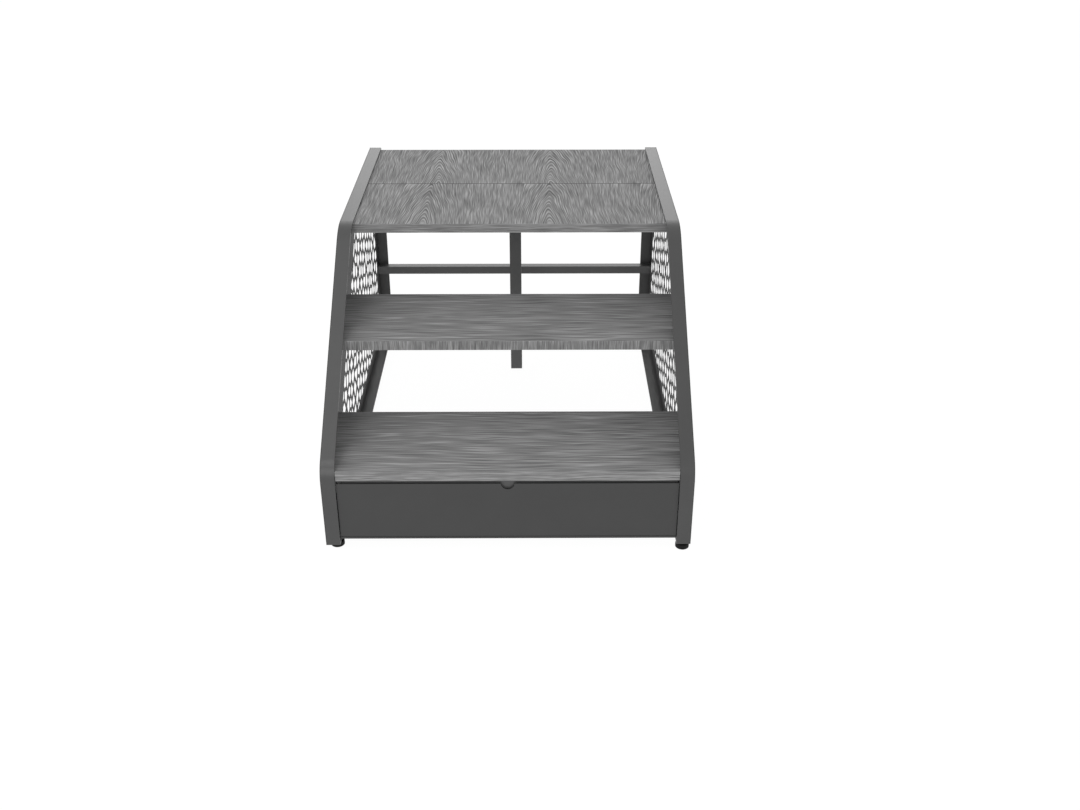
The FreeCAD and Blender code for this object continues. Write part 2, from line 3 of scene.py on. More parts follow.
import bpy
import numpy as np
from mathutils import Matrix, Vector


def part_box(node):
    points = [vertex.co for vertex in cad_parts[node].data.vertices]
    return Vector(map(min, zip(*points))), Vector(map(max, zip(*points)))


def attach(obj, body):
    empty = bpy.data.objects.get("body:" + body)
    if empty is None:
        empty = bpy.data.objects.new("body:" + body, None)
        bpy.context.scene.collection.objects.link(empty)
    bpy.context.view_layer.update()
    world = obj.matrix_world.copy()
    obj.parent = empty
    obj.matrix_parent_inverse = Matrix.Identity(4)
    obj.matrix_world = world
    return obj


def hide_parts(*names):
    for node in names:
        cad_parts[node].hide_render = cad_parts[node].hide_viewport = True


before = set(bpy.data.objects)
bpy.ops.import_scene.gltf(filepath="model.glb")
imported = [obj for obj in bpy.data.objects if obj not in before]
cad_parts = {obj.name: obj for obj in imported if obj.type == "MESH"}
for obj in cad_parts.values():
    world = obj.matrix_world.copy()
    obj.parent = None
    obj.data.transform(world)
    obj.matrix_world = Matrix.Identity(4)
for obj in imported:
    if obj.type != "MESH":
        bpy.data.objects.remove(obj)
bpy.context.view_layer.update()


# ---- The view -------------------------------------------------------------
# A tripod at eye height, a little right of the middle of the steps and three
# metres in front of it, looking down on the treads.
TRIPOD_PLACE = (0.065, -3.0728, 1.7403)
TRIPOD_DOWN = 28.576         # degrees below level
TRIPOD_TURN = -0.300         # degrees, to the right where it is negative
LENS_MM = 40.0
SENSOR_MM = 36.0

tripod_camera = bpy.data.cameras.new("tripod_camera")
tripod_camera.lens = LENS_MM
tripod_camera.sensor_width = SENSOR_MM
tripod = bpy.data.objects.new("tripod_camera", tripod_camera)
tripod.location = TRIPOD_PLACE
tripod.rotation_euler = (math.radians(90 - TRIPOD_DOWN), 0, math.radians(TRIPOD_TURN))
bpy.context.scene.collection.objects.link(tripod)
bpy.context.scene.camera = tripod
bpy.context.scene.view_settings.view_transform = "Standard"


# ---- The studio floor -----------------------------------------------------
# A sheet of opal acrylic lit from below, as in a product studio: it stays
# white under the steps, lights them softly from underneath, and only the
# closest contact darkens it.
FLOOR_GLOW = 0.975
FLOOR_SHADE = "#3a3a3a"
FLOOR_HALF = 40.0            # metres from its middle to its sides


def linear(hex_colour):
    """sRGB hex to linear red, green, blue and alpha."""
    channels = [int(hex_colour[i:i + 2], 16) / 255 for i in (1, 3, 5)]
    return [c / 12.92 if c <= 0.04045 else ((c + 0.055) / 1.055) ** 2.4 for c in channels] + [1.0]


def add(tree, kind, *values, **named):
    """A shader node of that kind; gives back its output, or the node itself if it has none.

    The values go to its inputs in order. A name in small letters is a setting, and one with a
    capital is an input, with _ for a space. A value is a number, a colour or a socket to link.
    """
    made = tree.nodes.new("ShaderNode" + kind)
    for key, value in named.items():
        if key.islower():
            setattr(made, key, value)
    open_inputs = [socket for socket in made.inputs if socket.enabled]
    pairs = list(zip(open_inputs, values))
    for key, value in named.items():
        if not key.islower():
            pairs.append((made.inputs[key.replace("_", " ")], value))
    for socket, value in pairs:
        if isinstance(value, bpy.types.NodeSocket):
            tree.links.new(value, socket)
        else:
            socket.default_value = value
    return next((socket for socket in made.outputs if socket.enabled), made)


def finish_named(name):
    """A new empty material of that name, and its node tree."""
    material = bpy.data.materials.new(name)
    material.use_nodes = True
    material.node_tree.nodes.clear()
    return material, material.node_tree


floor_mesh = bpy.data.meshes.new("studio_floor")
floor_corners = np.array([(-1, -1, 0), (1, -1, 0), (1, 1, 0), (-1, 1, 0)]) * FLOOR_HALF
floor_mesh.from_pydata(floor_corners.tolist(), [], [(0, 1, 2, 3)])
floor = bpy.data.objects.new("studio_floor", floor_mesh)
bpy.context.scene.collection.objects.link(floor)
floor_sheet, tree = finish_named("opal_acrylic_sheet")
glow = add(tree, "Emission", Color=(1, 1, 1, 1), Strength=FLOOR_GLOW)
shade = add(tree, "BsdfDiffuse", Color=linear(FLOOR_SHADE))
add(tree, "OutputMaterial", add(tree, "AddShader", glow, shade))
floor_mesh.materials.append(floor_sheet)


# ---- The studio light -----------------------------------------------------
# Evenly white walls and ceiling all round. Weak softboxes high at the left,
# high at the front left and beside the tripod round the shapes off, and a
# white panel behind the steps gives the tops their sheen.
AIR_GLOW = 0.95
OVERHEAD_W, OVERHEAD_M = 16.0, 2.4           # watts, and the side in metres
TRIPOD_SIDE_W, TRIPOD_SIDE_M = 17.0, 1.6
FRONT_LEFT_W, FRONT_LEFT_M = 10.0, 0.9
REAR_PANEL_W, REAR_PANEL_M = 24.0, 2.6

air = bpy.data.worlds.new("studio_air")
air.use_nodes = True
air.node_tree.nodes["Background"].inputs["Color"].default_value = (1, 1, 1, 1)
air.node_tree.nodes["Background"].inputs["Strength"].default_value = AIR_GLOW
bpy.context.scene.world = air


def softbox(name, place, aim, size, power):
    """A square lamp at place, facing aim, of that side in metres and power in watts."""
    lamp = bpy.data.lights.new(name, "AREA")
    lamp.shape = "SQUARE"
    lamp.size = size
    lamp.energy = power
    holder = bpy.data.objects.new(name, lamp)
    holder.location = place
    facing = np.array(aim, float) - np.array(place, float)
    turn = math.atan2(facing[1], facing[0])
    tilt = math.atan2(math.hypot(facing[0], facing[1]), -facing[2])
    holder.rotation_euler = (tilt, 0, turn - math.pi / 2)
    bpy.context.scene.collection.objects.link(holder)


softbox("overhead_softbox", (-1.9, -0.6, 2.9), (0, 0, 0.3), OVERHEAD_M, OVERHEAD_W)
softbox("tripod_side_softbox", (-0.6, -3.4, 1.5), (0, 0, 0.3), TRIPOD_SIDE_M, TRIPOD_SIDE_W)
softbox("left_softbox", (-1.15, -2.3, 3.0), (0, -0.2, 0.45), FRONT_LEFT_M, FRONT_LEFT_W)
softbox("rear_panel", (0, 4.2, 1.9), (0, 0, 0.6), REAR_PANEL_M, REAR_PANEL_W)


# ---- Side frames, angles, bearers, post and rear bar ----------------------
# Cold-rolled steel, cut, bent and welded, then blasted and sprayed with a grey
# polyester powder that is baked on. The coat is matt, with a fine orange peel
# that a hand can feel, and clouds a little where it is thicker.
COAT_DARK, COAT_PALE = "#363636", "#3f3f3f"
# Painted paler than the frame's coat: painted light on the square tubes.
TUBE_DARK, TUBE_PALE = "#424242", "#4b4b4b"
# The screens' coat is painted darker than the frame's: painted shade.
SCREEN_DARK, SCREEN_PALE = "#2e2e2e", "#363636"
# Near black, painted shade on the walls of the screens' openings.
OPENING_SHADE = "#0c0c0c"
COAT_PEEL_MM = 1.6           # real peel is about 0.6 mm; drawn coarser, so that it shows
COAT_CLOUD_MM = 90.0
COAT_PEEL_DEPTH_MM = 0.05
COAT_SPECK = 0.45            # how much of the peel shows in the colour


def powder_coat(name, dark, pale, rough_low, rough_high, opening_shade=None):
    """Matt powder coat between two greys.

    Clouds show in the colour, and peel in the roughness and the bump. Given a colour for the
    openings, the walls of openings cut through a sheet square to X take it as painted shade.
    """
    material, tree = finish_named(name)
    where = tree.nodes.new("ShaderNodeTexCoord").outputs["Object"]
    peel = add(tree, "TexNoise", where, Scale=1000 / COAT_PEEL_MM, Detail=2.0, Roughness=0.55)
    cloud = add(tree, "TexNoise", where, Scale=1000 / COAT_CLOUD_MM, Detail=3.0, Roughness=0.6)
    speck = add(tree, "Math", peel, COAT_SPECK, -COAT_SPECK / 2, operation="MULTIPLY_ADD")
    blend = add(tree, "Math", cloud, speck, operation="ADD", use_clamp=True)
    colour = add(tree, "Mix", blend, linear(dark), linear(pale), data_type="RGBA")
    # Painted shade: the walls of the openings take the near black colour.
    if opening_shade:
        facing = add(tree, "SeparateXYZ", where.node.outputs["Normal"])
        facing = add(tree, "Math", facing, operation="ABSOLUTE")
        on_wall = add(tree, "Math", facing, 0.5, operation="LESS_THAN")
        colour = add(tree, "Mix", on_wall, colour, linear(opening_shade), data_type="RGBA")
    rough = add(tree, "MapRange", peel, 0.3, 0.7, rough_low, rough_high)
    bump = add(tree, "Bump", Strength=0.5, Distance=COAT_PEEL_DEPTH_MM / 1000, Height=peel)
    shader = add(tree, "BsdfPrincipled", Base_Color=colour, Roughness=rough, Normal=bump)
    add(tree, "OutputMaterial", shader)
    return material


def give(node, material):
    """Gives a CAD piece that finish in place of its plain one."""
    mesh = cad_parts[node].data
    mesh.materials.clear()
    mesh.materials.append(material)


def give_all(material, *starts):
    """Gives that finish to every CAD piece whose name starts with one of these words."""
    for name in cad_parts:
        if name.startswith(starts):
            give(name, material)


grey_powder_coat = powder_coat("grey_powder_coat", COAT_DARK, COAT_PALE, 0.30, 0.38)
give_all(grey_powder_coat, "front_band", "bottom_band", "rear_band", "lower_angle",
         "middle_angle", "landing_angle", "lower_bearer", "middle_bearer", "landing_bearer")
# The square tubes' coat is painted a little paler: painted light on the post and rear bar.
painted_light_tube_coat = powder_coat("painted_light_tube_coat", TUBE_DARK, TUBE_PALE, 0.34, 0.42)
give_all(painted_light_tube_coat, "centre_post", "rear_bar")
# The powder lies dull on the cut sheets, and its colour is painted darker than the
# frame's: painted shade. The walls of their openings are painted near black: painted shade.
painted_shade_slit_coat = powder_coat("painted_shade_slit_coat", SCREEN_DARK, SCREEN_PALE, 0.55, 0.65, OPENING_SHADE)
give_all(painted_shade_slit_coat, "side_sheet")


# ---- Weld beads -----------------------------------------------------------
# Fillet welds laid by hand where the bar meets the side sheets, the post meets
# its bearer and the angles meet the sheets. Each is a row of overlapping
# ripples about 2 mm apart, under the same powder coat.
WELD_RIPPLE_MM = 2.0
WELD_RIPPLE_SHARE = 0.12
WELD_STEPS_PER_RIPPLE = 5
WELD_STEPS_LEAST = 8
WELD_ROUND = 7               # points across the face


def weld_bead(start, end, wall_a, wall_b, leg):
    """Points and faces of one bead in the corner between two walls.

    Along the corner the leg swells as leg * (1 - ripple * frac(distance / pitch)) and runs
    out at both ends; across it the face is a quarter circle from one wall to the other.
    """
    start, end, wall_a, wall_b = (np.array(v, float) for v in (start, end, wall_a, wall_b))
    length = np.linalg.norm(end - start)
    steps = int(length / (WELD_RIPPLE_MM / 1000) * WELD_STEPS_PER_RIPPLE)
    steps = max(WELD_STEPS_LEAST, steps)
    along = np.linspace(0, 1, steps)
    run_out = np.clip(np.minimum(along, 1 - along) * length / leg, 0, 1) ** 0.5
    ripple = np.mod(along * length * 1000 / WELD_RIPPLE_MM, 1)
    size = leg * (1 - WELD_RIPPLE_SHARE * ripple) * run_out
    turn = np.linspace(0, math.pi / 2, WELD_ROUND)[:, None]
    across = np.vstack([np.cos(turn) * wall_a + np.sin(turn) * wall_b, [[0, 0, 0]]])
    spine = start + along[:, None] * (end - start)
    points = spine[:, None, :] + size[:, None, None] * across[None, :, :]
    columns = WELD_ROUND + 1
    row, column = np.meshgrid(np.arange(steps - 1), np.arange(columns), indexing="ij")
    after = (column + 1) % columns
    faces = np.stack([row * columns + column, row * columns + after,
                      (row + 1) * columns + after, (row + 1) * columns + column], -1).reshape(-1, 4)
    handed = np.dot(np.cross(wall_a, wall_b), end - start)
    return points.reshape(-1, 3), faces if handed < 0 else faces[:, ::-1]


def one_mesh(name, shapes, material, body):
    """One object out of several (points, faces) pairs, in that finish, riding on that body."""
    points, faces, count = [], [], 0
    for shape_points, shape_faces in shapes:
        points.append(shape_points)
        faces += [tuple(int(corner) + count for corner in face) for face in shape_faces]
        count += len(shape_points)
    mesh = bpy.data.meshes.new(name)
    mesh.from_pydata(np.vstack(points).tolist(), [], faces)
    mesh.polygons.foreach_set("use_smooth", np.full(len(mesh.polygons), True))
    mesh.materials.append(material)
    mesh.validate()
    mesh.update()
    piece = bpy.data.objects.new(name, mesh)
    bpy.context.scene.collection.objects.link(piece)
    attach(piece, body)
    return piece


LEFT, RIGHT = (-1, 0, 0), (1, 0, 0)
FRONT, REAR = (0, -1, 0), (0, 1, 0)
UP, DOWN = (0, 0, 1), (0, 0, -1)
BAR_LEG = 0.0030
POST_LEG = 0.0022
ANGLE_LEG = 0.0024
ANGLE_STITCH = 0.025         # each angle has three short welds of this length

beads = []
bar_low, bar_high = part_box("rear_bar")
for x, inwards in ((bar_low.x, RIGHT), (bar_high.x, LEFT)):
    foot, front = (x, bar_low.y, bar_low.z), (x, bar_low.y, bar_high.z)
    beads.append(weld_bead(front, (x, bar_high.y, bar_high.z), inwards, UP, BAR_LEG))
    beads.append(weld_bead(foot, front, inwards, FRONT, BAR_LEG))
    beads.append(weld_bead(foot, (x, bar_high.y, bar_low.z), inwards, DOWN, BAR_LEG))
post_low, post_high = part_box("centre_post")
top = post_high.z
for y, outwards in ((post_low.y, FRONT), (post_high.y, REAR)):
    start, end = (post_low.x, y, top), (post_high.x, y, top)
    beads.append(weld_bead(start, end, DOWN, outwards, POST_LEG))
for x, outwards in ((post_low.x, LEFT), (post_high.x, RIGHT)):
    start, end = (x, post_low.y, top), (x, post_high.y, top)
    beads.append(weld_bead(start, end, DOWN, outwards, POST_LEG))
for word in ("lower", "middle", "landing"):
    for side, inwards in (("left", RIGHT), ("right", LEFT)):
        low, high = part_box(word + "_angle_" + side)
        x = low.x if side == "left" else high.x
        for y in (low.y, (low.y + high.y - ANGLE_STITCH) / 2, high.y - ANGLE_STITCH):
            start, end = (x, y, low.z), (x, y + ANGLE_STITCH, low.z)
            beads.append(weld_bead(start, end, inwards, DOWN, ANGLE_LEG))
one_mesh("weld_beads", beads, grey_powder_coat, "frame")


# ---- Treads and landing ---------------------------------------------------
# Boards 25 mm thick with a printed grey oak decor under a matt sealer. On the
# landing the grain runs from front to back, on the treads from side to side,
# and the front edges are banded with strips of their own grain.
OAK_DARK = "#474747"
OAK_MIDDLE = "#707070"
OAK_PALE = "#9c9c9c"
RING_MM = 6.0                # growth rings where the cut grazes them
PITH_MM = 5.0                # depth of the pith under the figure
ARCH_MM = 75.0               # half the width of the arches
STREAK_MM = 7.0              # pale and dark streaks, wider than the pores
CLOUD_MM = 120.0
SWAY_MM = (170.0, 300.0, 9.0)      # the grain wanders: across, along, and how far
WAVER_MM = (24.0, 90.0, 1.6)       # and again, finer
PORE_SHARE, CLOUD_SHARE = 0.38, 0.05
# Real edge pores are about 0.3 mm wide; drawn coarser, so that they show.
EDGE_LEVEL_MM = (1.2, 70.0)        # lines on a front edge cut along its grain
EDGE_LEVEL_BAND_MM = (6.0, 160.0)  # and the bands that they lie in
EDGE_CROSS_MM = (1.7, 45.0)        # the same on an edge cut across its grain
EDGE_CROSS_BAND_MM = (12.0, 90.0)
EDGE_LINE_SHARE, EDGE_BAND_SHARE = 0.40, 0.10
EDGE_LIFT = 0.07                   # the edge strips are a shade paler
EDGE_FACING = 0.7                  # a face turned this far to the front or rear is an edge
OAK_RELIEF_MM = 0.3                # deeper than real pores, to match their drawn width


def oak_board(name, across, along, figure, repeat, base, grain, edge):
    """Grey oak decor, its grain drawn from growth rings that are cones about a slanted pith.

    With u across the grain from the figure's middle line and v along it, a ring is where
    sqrt(u * u + pith * pith) + taper * (v - base) * exp(-(u / arch) ** 2) is even: pointed
    arches nested on the middle line that die out to straight grain. Pores and streaks are
    noise drawn out along v and laid at that ring value, so that they follow the arches. The
    figure comes back every repeat mm. An edge has level lines, or upright ones where it is
    cut across the grain. On a seam edge the face turned to the front, into the gap, is painted
    dark: painted shade in the seam.
    """
    taper, pore, pore_long, figured, streaked = grain
    material, tree = finish_named(name)
    coordinates = tree.nodes.new("ShaderNodeTexCoord")
    place = coordinates.outputs["Object"]
    place = add(tree, "VectorMath", place, (1000, 1000, 1000), operation="MULTIPLY")
    axes = add(tree, "SeparateXYZ", place).node.outputs
    facing = add(tree, "SeparateXYZ", coordinates.outputs["Normal"]).node.outputs

    def lines(a, a_mm, b, b_mm, layer, detail=2.0):
        """Noise in lines a_mm apart across a and b_mm long along b, from -1 to 1.

        Each use has its own layer of the noise, so that no two repeat each other.
        """
        a_share = add(tree, "Math", a, a_mm, operation="DIVIDE")
        b_share = add(tree, "Math", b, b_mm, operation="DIVIDE")
        laid = add(tree, "CombineXYZ", a_share, b_share, layer)
        noise = add(tree, "TexNoise", laid, Scale=1.0, Detail=detail, Roughness=0.55)
        return add(tree, "MapRange", noise, 0.25, 0.75, -1.0, 1.0, clamp=False)

    # The grain wanders about its straight line, and its figure comes back every repeat.
    w, v = axes[across], axes[along]
    sway = lines(w, SWAY_MM[0], v, SWAY_MM[1], figure + 1.7)
    waver = lines(w, WAVER_MM[0], v, WAVER_MM[1], figure + 4.1, 1.0)
    u = add(tree, "Math", sway, SWAY_MM[2], w, operation="MULTIPLY_ADD")
    u = add(tree, "Math", waver, WAVER_MM[2], u, operation="MULTIPLY_ADD")
    u = add(tree, "Math", u, figure, operation="SUBTRACT")
    u = add(tree, "Math", u, repeat / 2, -repeat / 2, operation="WRAP")

    # The ring that each point lies on.
    u_squared = add(tree, "Math", u, u, operation="MULTIPLY")
    cone = add(tree, "Math", u_squared, PITH_MM ** 2, operation="ADD")
    cone = add(tree, "Math", cone, operation="SQRT")
    near = add(tree, "Math", u_squared, -1 / ARCH_MM ** 2, operation="MULTIPLY")
    near = add(tree, "Math", near, operation="EXPONENT")
    rise = add(tree, "Math", v, base, operation="SUBTRACT")
    rise = add(tree, "Math", rise, taper, operation="MULTIPLY")
    slope = add(tree, "Math", rise, near, operation="MULTIPLY")
    ring = add(tree, "Math", cone, slope, operation="ADD")

    # The flat face: arches near the middle line, with pores, streaks and clouds.
    beat = add(tree, "Math", ring, RING_MM, operation="DIVIDE")
    beat = add(tree, "Math", beat, 0.5, operation="PINGPONG")
    beat = add(tree, "MapRange", beat, 0.1, 0.45, -1.0, 1.0, interpolation_type="SMOOTHSTEP")
    beat = add(tree, "Math", beat, near, operation="MULTIPLY")
    beat = add(tree, "Math", beat, figured, operation="MULTIPLY")
    # A ring is the same on both sides of the middle line, so the noise's layer changes with u.
    layer = add(tree, "Math", u, 2 * math.pi / repeat, operation="MULTIPLY")
    layer = add(tree, "Math", layer, operation="SINE")
    pores = lines(ring, pore, v, pore_long, layer, 1.0)
    streaks = lines(ring, STREAK_MM, v, 2 * pore_long, figure + 3.3)
    cloud = lines(w, CLOUD_MM, v, 2 * CLOUD_MM, 7.9)
    top = add(tree, "Math", pores, PORE_SHARE, beat, operation="MULTIPLY_ADD")
    top = add(tree, "Math", streaks, streaked, top, operation="MULTIPLY_ADD")
    top = add(tree, "Math", cloud, CLOUD_SHARE, top, operation="MULTIPLY_ADD")

    # The edges.
    if edge == "cross":
        line = lines(axes["X"], EDGE_CROSS_MM[0], axes["Z"], EDGE_CROSS_MM[1], 5.5)
        band = lines(axes["X"], EDGE_CROSS_BAND_MM[0], axes["Z"], EDGE_CROSS_BAND_MM[1], 2.5)
    else:
        line = lines(axes["Z"], EDGE_LEVEL_MM[0], axes["X"], EDGE_LEVEL_MM[1], 5.5)
        band = lines(axes["Z"], EDGE_LEVEL_BAND_MM[0], axes["X"], EDGE_LEVEL_BAND_MM[1], 2.5)
    side = add(tree, "Math", band, EDGE_BAND_SHARE, EDGE_LIFT, operation="MULTIPLY_ADD")
    side = add(tree, "Math", line, EDGE_LINE_SHARE, side, operation="MULTIPLY_ADD")
    # On a seam edge the face turned to the front, into the gap, is painted dark: painted shade in the
    # seam.
    if edge == "seam":
        painted_seam_shade = add(tree, "Math", facing["Y"], -EDGE_FACING, operation="LESS_THAN")
        side = add(tree, "Math", side, painted_seam_shade, operation="SUBTRACT")
    on_edge = add(tree, "Math", facing["Y"], operation="ABSOLUTE")
    on_edge = add(tree, "Math", on_edge, EDGE_FACING, operation="GREATER_THAN")
    face_or_edge = add(tree, "Mix", on_edge, top, side, data_type="FLOAT")
    shown = add(tree, "Math", face_or_edge, 0.5, operation="ADD", use_clamp=True)

    colour = add(tree, "ValToRGB", shown)
    stops = colour.node.color_ramp.elements
    stops[0].position, stops[0].color = 0.08, linear(OAK_DARK)
    stops[1].position, stops[1].color = 0.92, linear(OAK_PALE)
    stops.new(0.5).color = linear(OAK_MIDDLE)
    rough = add(tree, "MapRange", face_or_edge, -0.5, 0.5, 0.80, 0.66)
    bump = add(tree, "Bump", Strength=0.35, Distance=OAK_RELIEF_MM / 1000, Height=face_or_edge)
    shader = add(tree, "BsdfPrincipled", Base_Color=colour, Roughness=rough, Normal=bump, IOR=1.40)
    add(tree, "OutputMaterial", shader)
    return material


# Taper, pore spacing and length in mm (real pores are about 0.3 mm wide; drawn coarser, so
# that they show), and the strength of the arches and of the streaks.
LANDING_GRAIN = (0.19, 2.1, 80.0, 0.16, 0.05)
TREAD_GRAIN = (0.012, 2.1, 120.0, 0.02, 0.03)
# Each board's figure: the place of its middle line and its repeat in mm, and its edge.
LANDING_BOARDS = (
    ("landing_board_front", -232.0, 340.0, "level"),
    ("landing_board_rear", -216.0, 335.0, "seam"),
)
for node, figure, repeat, edge in LANDING_BOARDS:
    low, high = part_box(node)
    base = (low.y + high.y) / 2 * 1000
    board = oak_board("grey_oak_" + node, "X", "Y", figure, repeat, base, LANDING_GRAIN, edge)
    give(node, board)
TREADS = (
    ("middle_tread", -190.0, 230.0, "cross"),
    ("lower_tread", -450.0, 240.0, "level"),
)
for node, figure, repeat, edge in TREADS:
    give(node, oak_board("grey_oak_" + node, "Y", "X", figure, repeat, 0.0, TREAD_GRAIN, edge))


# ---- Drawer ---------------------------------------------------------------
# Folded steel sheet, spot-welded at its corners. The front is a shallow tray
# with a rolled hem below and a finger notch above, powder-coated a shade
# darker than the frame. The box behind it is painted paler: painted light in
# the shade behind the front and under the tread.
GRAPHITE_DARK, GRAPHITE_PALE = "#2c2c2c", "#323232"
# The box's coat is painted paler than the front's: painted light on the box, which stands in shade.
BOX_DARK, BOX_PALE = "#424242", "#4a4a4a"

graphite_powder_coat = powder_coat("graphite_powder_coat", GRAPHITE_DARK, GRAPHITE_PALE, 0.32, 0.40)
give_all(graphite_powder_coat, "drawer_front")
painted_light_box_coat = powder_coat("painted_light_box_coat", BOX_DARK, BOX_PALE, 0.36, 0.44)
give_all(painted_light_box_coat, "drawer_box", "drawer_floor", "drawer_side")


# ---- Drawer runners -------------------------------------------------------
# Channels and rails rolled from hot-dip galvanised strip, with brackets and
# spacers of the same. The zinc shows faint crystals and is dulled by handling.
ZINC_DARK = "#8b8e90"
ZINC_PALE = "#a9acae"
SPANGLE_MM = 7.0

galvanised_strip, tree = finish_named("galvanised_strip")
where = tree.nodes.new("ShaderNodeTexCoord").outputs["Object"]
spangle = add(tree, "TexVoronoi", where, Scale=1000 / SPANGLE_MM)
crystal = add(tree, "SeparateColor", spangle.node.outputs["Color"])
colour = add(tree, "Mix", crystal, linear(ZINC_DARK), linear(ZINC_PALE), data_type="RGBA")
rough = add(tree, "MapRange", crystal, 0.0, 1.0, 0.34, 0.5)
shader = add(tree, "BsdfPrincipled", Base_Color=colour, Roughness=rough, Metallic=1.0)
add(tree, "OutputMaterial", shader)
give_all(galvanised_strip, "runner_", "slide_rail", "front_spacers")


# ---- Screws ---------------------------------------------------------------
# Pan-head screws of bright zinc-plated steel with a six-lobed socket, driven
# up through the angles and bearers into the boards, and through the front of
# the drawer box into its face.
HEAD_R = 0.0050
HEAD_THICK = 0.0030
SHANK_R = 0.0025
SOCKET_R = 0.0019
SOCKET_DEPTH = 0.0016
SOCKET_LOBES, SOCKET_LOBE = 6, 0.13
SCREW_AROUND = 48
SCREWS_APART = 0.02          # no two screws are nearer than this
ANGLE_THICK = 0.003          # steel of the angles under the boards' ends
BRIGHT_ZINC_DARK, BRIGHT_ZINC_PALE = "#a4a7a9", "#c2c5c7"
ZINC_HAZE_MM = 1.5           # dull patches left by handling

bright_zinc, tree = finish_named("bright_zinc_plate")
where = tree.nodes.new("ShaderNodeTexCoord").outputs["Object"]
haze = add(tree, "TexNoise", where, Scale=1000 / ZINC_HAZE_MM, Detail=3.0)
bright, brighter = linear(BRIGHT_ZINC_DARK), linear(BRIGHT_ZINC_PALE)
colour = add(tree, "Mix", haze, bright, brighter, data_type="RGBA")
rough = add(tree, "MapRange", haze, 0.0, 1.0, 0.22, 0.38)
shader = add(tree, "BsdfPrincipled", Base_Color=colour, Roughness=rough, Metallic=1.0)
add(tree, "OutputMaterial", shader)


def turned(radius, height, low, high):
    """Points and faces of a closed shape round the Z axis.

    radius and height hold one row for each ring and one column for each step round, and
    a point on the axis closes each end, at the heights low and high.
    """
    rings, around = radius.shape
    turn = np.linspace(0, 2 * math.pi, around, endpoint=False)
    body = np.stack([radius * np.cos(turn), radius * np.sin(turn), height + 0 * turn], -1)
    points = np.vstack([[[0, 0, low]], body.reshape(-1, 3), [[0, 0, high]]])
    here = np.arange(around)
    after = (here + 1) % around
    ring = 1 + np.arange(rings - 1)[:, None] * around
    above = ring + around
    sides = np.stack([ring + here, ring + after, above + after, above + here], -1).reshape(-1, 4)
    last = 1 + (rings - 1) * around
    bottom = np.stack([0 * here, 1 + after, 1 + here], -1)
    top = np.stack([last + here, last + after, 0 * here + len(points) - 1], -1)
    return points, bottom.tolist() + sides.tolist() + top.tolist()


def pan_screw(length):
    """A pan-head screw whose head lies under Z = 0 and whose shank runs up.

    The socket is a six-lobed star, radius * (1 + lobe * cos 6t). Outside it the head is
    thick * (0.45 + 0.55 * (1 - share ** 3)) deep, with share going from 0 at the socket to
    1 at the rim, and the rim and the tip are coned.
    """
    turn = np.linspace(0, 2 * math.pi, SCREW_AROUND, endpoint=False)
    star = SOCKET_R * (1 + SOCKET_LOBE * np.cos(SOCKET_LOBES * turn))
    dome_r = np.linspace(SOCKET_R * 1.25, HEAD_R, 9)[:, None] + 0 * turn
    share = (dome_r - dome_r[0]) / (HEAD_R - dome_r[0])
    dome_z = -HEAD_THICK * (0.45 + 0.55 * (1 - share ** 3))
    radius = np.vstack([star * 0.9, star, dome_r, [0 * turn + HEAD_R], [0 * turn + HEAD_R * 0.97],
                        [0 * turn + SHANK_R], [0 * turn + SHANK_R], [0 * turn + SHANK_R * 0.4]])
    height = np.vstack([[0 * turn - HEAD_THICK + SOCKET_DEPTH], [0 * turn - HEAD_THICK], dome_z,
                        [0 * turn - HEAD_THICK * 0.1], [0 * turn], [0 * turn],
                        [0 * turn + length - 2 * SHANK_R], [0 * turn + length - 0.4 * SHANK_R]])
    return turned(radius, height, -HEAD_THICK + SOCKET_DEPTH, length)


def centres(node, apart, flat):
    """Middles of the separate pieces of a node, seen along the axis that flat leaves out."""
    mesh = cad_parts[node].data
    points = np.empty(len(mesh.vertices) * 3)
    mesh.vertices.foreach_get("co", points)
    points = points.reshape(-1, 3)[:, flat]
    found = []
    while len(points):
        close = np.linalg.norm(points - points[0], axis=1) < apart
        found.append((points[close].min(0) + points[close].max(0)) / 2)
        points = points[~close]
    return found


SCREW_GROUPS = (
    ("lower_tread_screws", "lower_angle_left", "lower_bearer"),
    ("middle_tread_screws", "middle_angle_left", "middle_bearer"),
    ("landing_screws", "landing_angle_left", "landing_bearer"),
)
for group, angle, bearer in SCREW_GROUPS:
    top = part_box(group)[1].z
    angle_low, angle_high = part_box(angle)
    angle_in = max(abs(angle_low.x), abs(angle_high.x)) - (angle_high.x - angle_low.x)
    screws = []
    for x, y in centres(group, SCREWS_APART, [0, 1]):
        seat = angle_high.z - ANGLE_THICK if abs(x) > angle_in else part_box(bearer)[0].z
        points, faces = pan_screw(top - seat)
        screws.append((points + [x, y, seat], faces))
    driven = one_mesh(group + "_driven", screws, bright_zinc, "frame")
    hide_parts(group)
front_low, front_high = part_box("front_screws")
seat = front_high.y - HEAD_THICK
screws = []
for x, z in centres("front_screws", SCREWS_APART, [0, 2]):
    points, faces = pan_screw(seat - front_low.y)
    lying = np.stack([points[:, 0] + x, seat - points[:, 2], points[:, 1] + z], -1)
    screws.append((lying, faces))
driven = one_mesh("front_screws_driven", screws, bright_zinc, "drawer")
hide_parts("front_screws")


# ---- Post cap -------------------------------------------------------------
# A moulded polypropylene plug pressed into the foot of the post, matt with a
# fine spark-eroded grain.
CAP_DARK, CAP_PALE = "#4c4c4c", "#565656"
CAP_GRAIN_MM = 1.2           # real grain is about 0.2 mm; drawn coarser, so that it shows
MOULD_GRAIN_DEPTH = 0.00006


